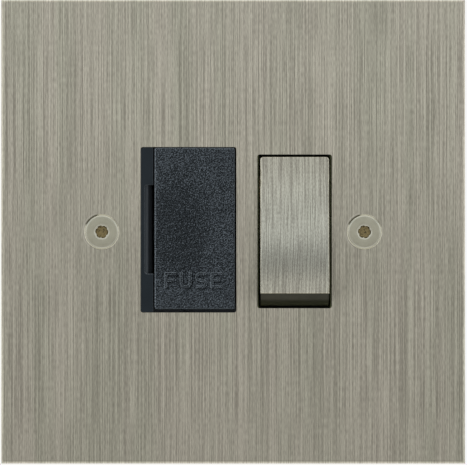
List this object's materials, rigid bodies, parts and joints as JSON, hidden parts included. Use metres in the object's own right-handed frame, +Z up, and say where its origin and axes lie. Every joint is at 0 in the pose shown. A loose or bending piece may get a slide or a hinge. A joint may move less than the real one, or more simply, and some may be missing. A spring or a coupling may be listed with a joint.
{
  "type": "fused spur unit",
  "caption": "Square brushed metal wall plate with a pull-out fuse carrier and a metal-capped rocker switch, for a fixed appliance's fused supply.",
  "frame": {"origin": "on the wall plane at the plate's back face, midway between the two fixing screws", "axes": "+Z up, -Y out of the wall towards the room, +X to the right seen from the room"},
  "size_m": [0.1064, 0.0355, 0.1064],
  "materials": {
    "brushed_plate": "vertical brushed satin nickel",
    "screw_steel": "satin nickel",
    "black_moulding": "moulded, smooth",
    "fuse_lid_plastic": "fine stipple",
    "rocker_plastic": "moulded, smooth",
    "rocker_metal": "vertical brushed satin nickel",
    "ceramic": "matt glaze",
    "fuse_cap_metal": "plated",
    "spring_brass": "rolled",
    "contact_silver": "satin",
    "plunger_nylon": "moulded",
    "spring_steel": "drawn wire",
    "terminal_brass": "machined",
    "clamp_screw_steel": "zinc plated",
    "earth_brass": "rolled"
  },
  "bodies": {
    "root": {"front_plate": "brushed_plate", "fixing_screws": "screw_steel", "plate_screws": "screw_steel", "assembly_screws": "screw_steel", "front_moulding": "black_moulding", "rear_base": "black_moulding", "fuse_clip_upper": "spring_brass", "fuse_clip_lower": "spring_brass", "live_link": "spring_brass", "live_load_strip": "spring_brass", "neutral_load_strip": "spring_brass", "live_supply_post": "spring_brass", "neutral_supply_post": "spring_brass", "fixed_contact_live": "contact_silver", "fixed_contact_neutral": "contact_silver", "earth_load_terminal": "terminal_brass", "earth_supply_terminal": "terminal_brass", "neutral_load_terminal": "terminal_brass", "live_load_terminal": "terminal_brass", "live_supply_terminal": "terminal_brass", "neutral_supply_terminal": "terminal_brass", "terminal_screws": "clamp_screw_steel", "earth_strap": "earth_brass"},
    "carrier": {"fuse_carrier": "fuse_lid_plastic", "fuse_body": "ceramic", "fuse_cap_upper": "fuse_cap_metal", "fuse_cap_lower": "fuse_cap_metal"},
    "rocker": {"rocker_body": "rocker_plastic", "rocker_cap": "rocker_metal", "plunger_spring_live": "spring_steel", "plunger_spring_neutral": "spring_steel"},
    "plunger_l": {"plunger_live": "plunger_nylon"},
    "plunger_n": {"plunger_neutral": "plunger_nylon"},
    "lever_l": {"contact_lever_live": "spring_brass", "moving_contact_live": "contact_silver"},
    "lever_n": {"contact_lever_neutral": "spring_brass", "moving_contact_neutral": "contact_silver"}
  },
  "joints": [
    {"name": "carrier_pull", "type": "slide", "parent": "root", "child": "carrier", "axis": [0, -1, 0], "range_m": [0, 0.016]},
    {"name": "rocker_tilt", "type": "hinge", "parent": "root", "child": "rocker", "pos_m": [0.0141, 0.00235, 0.0001], "axis": [1, 0, 0], "range_deg": [0, 20]},
    {"name": "lever_live", "type": "hinge", "parent": "root", "child": "lever_l", "pos_m": [0.0099, 0.02, 0.0001], "axis": [1, 0, 0], "range_deg": [-16, 0]},
    {"name": "plunger_live", "type": "slide", "parent": "rocker", "child": "plunger_l", "axis": [0, -0.9848, 0.1736], "range_m": [0, 0.0006], "stiffness_N_per_m": 200, "deforming": ["plunger_spring_live"]},
    {"name": "lever_neutral", "type": "hinge", "parent": "root", "child": "lever_n", "pos_m": [0.0183, 0.02, 0.0001], "axis": [1, 0, 0], "range_deg": [-16, 0]},
    {"name": "plunger_neutral", "type": "slide", "parent": "rocker", "child": "plunger_n", "axis": [0, -0.9848, 0.1736], "range_m": [0, 0.0006], "stiffness_N_per_m": 200, "deforming": ["plunger_spring_neutral"]}
  ],
  "couplings": [
    {"joint": "lever_live", "follows": "rocker_tilt", "ratio": -0.8},
    {"joint": "lever_neutral", "follows": "rocker_tilt", "ratio": -0.8}
  ]
}
